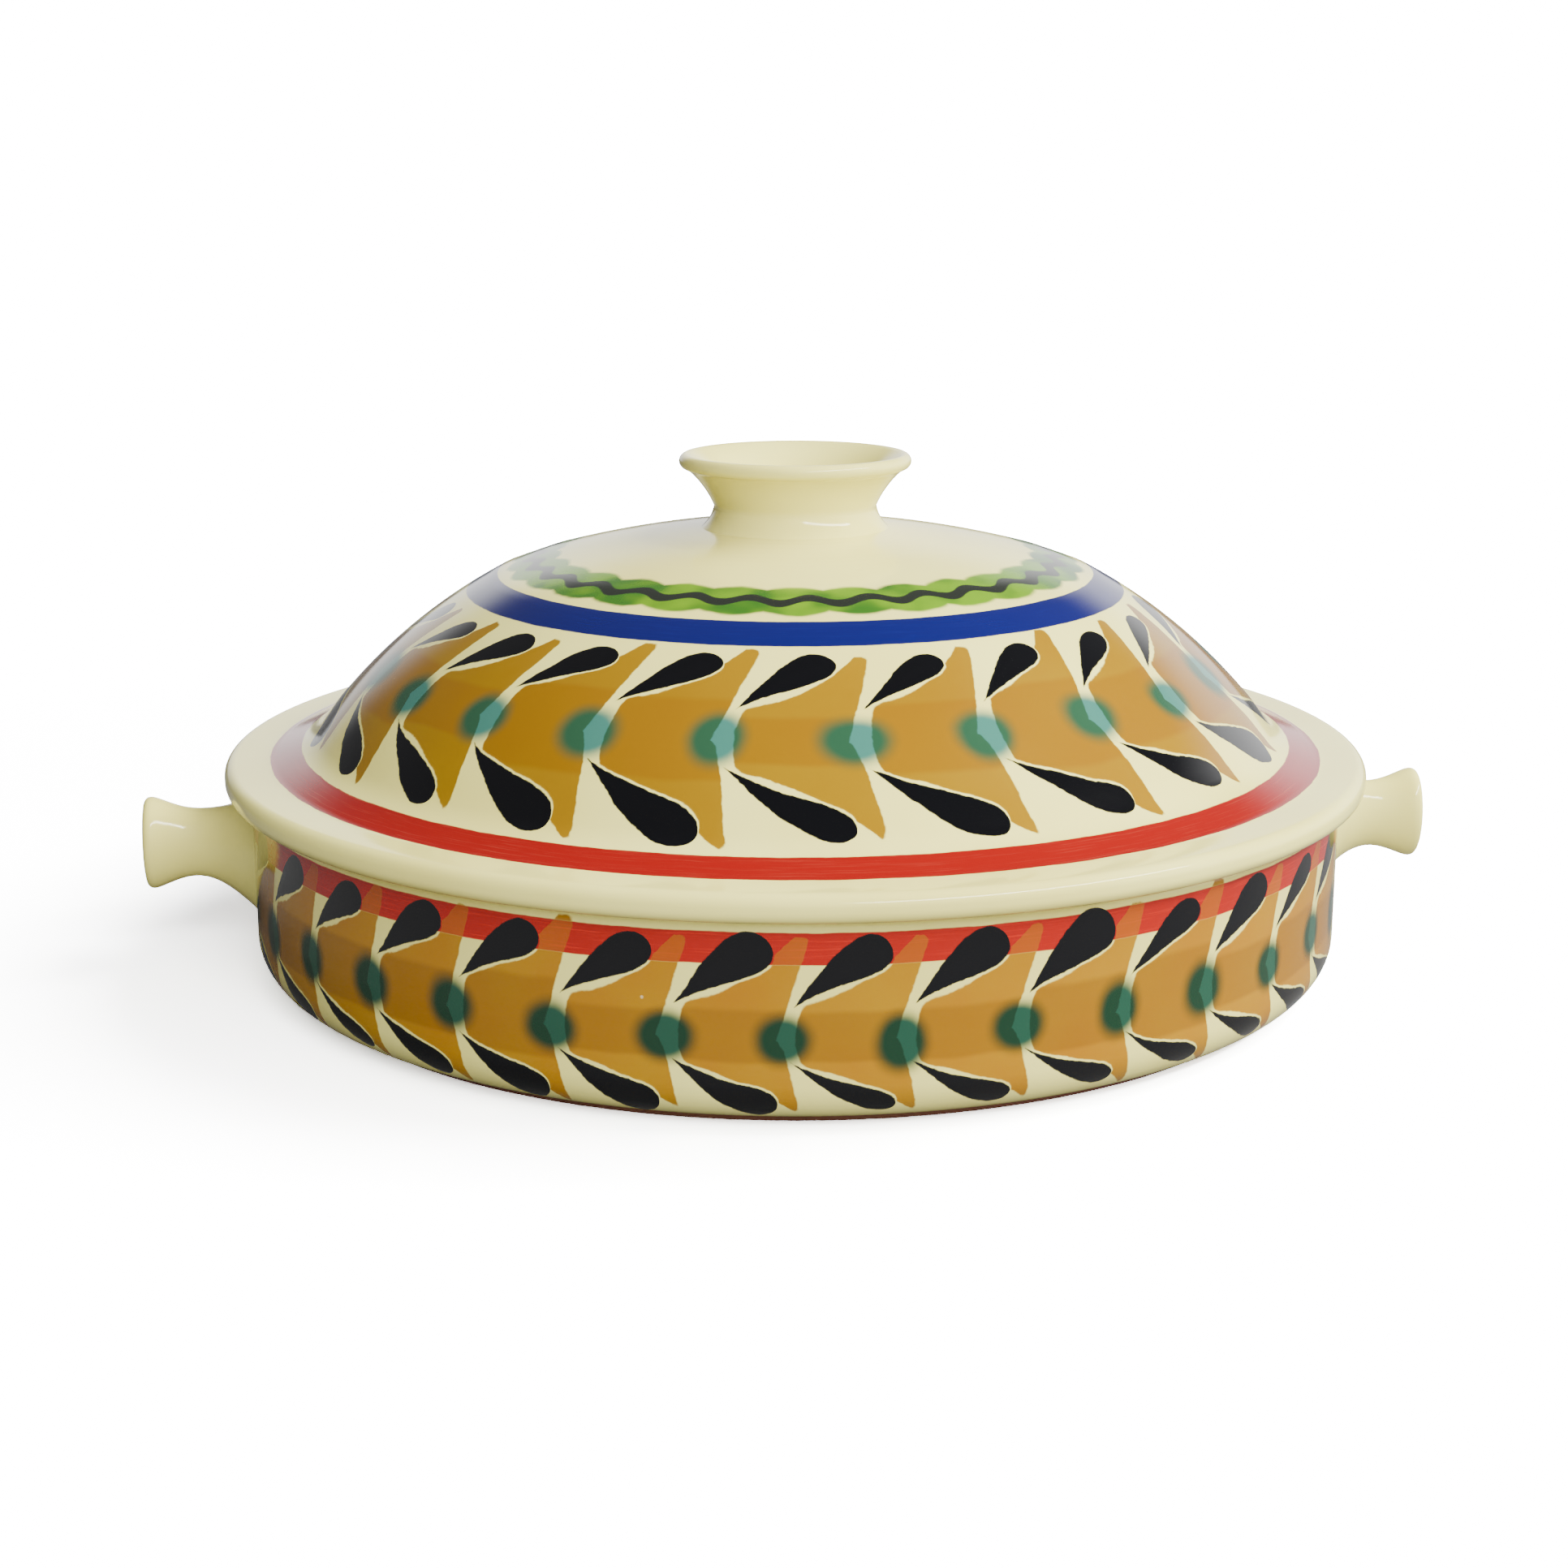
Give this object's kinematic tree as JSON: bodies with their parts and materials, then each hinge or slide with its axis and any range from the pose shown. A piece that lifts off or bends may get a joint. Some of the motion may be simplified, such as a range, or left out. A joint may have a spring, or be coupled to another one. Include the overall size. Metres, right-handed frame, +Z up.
{
  "type": "tortilla warmer",
  "caption": "Round glazed earthenware dish with two lug handles and a domed lift-off lid with a hollow knob, for keeping tortillas warm.",
  "frame": {"origin": "on the table, under the middle of the dish", "axes": "+X through the handles, +Z up through the knob"},
  "size_m": [0.315, 0.274, 0.1226],
  "materials": {
    "painted_glaze": "glossy tin glaze, hand painted with leaf garlands and bands",
    "plain_glaze": "glossy ivory tin glaze",
    "bare_clay": "matt, wiped clean of glaze"
  },
  "bodies": {
    "dish": {"dish": "painted_glaze", "foot_ring": "bare_clay", "handle_left": "plain_glaze", "handle_right": "plain_glaze"},
    "lid": {"lid": "painted_glaze", "lid_seat_ring": "plain_glaze", "lid_knob": "plain_glaze"}
  },
  "joints": [
    {"name": "lid_lift", "type": "slide", "parent": "dish", "child": "lid", "axis": [0, 0, 1], "range_m": [0, 0.15]}
  ]
}
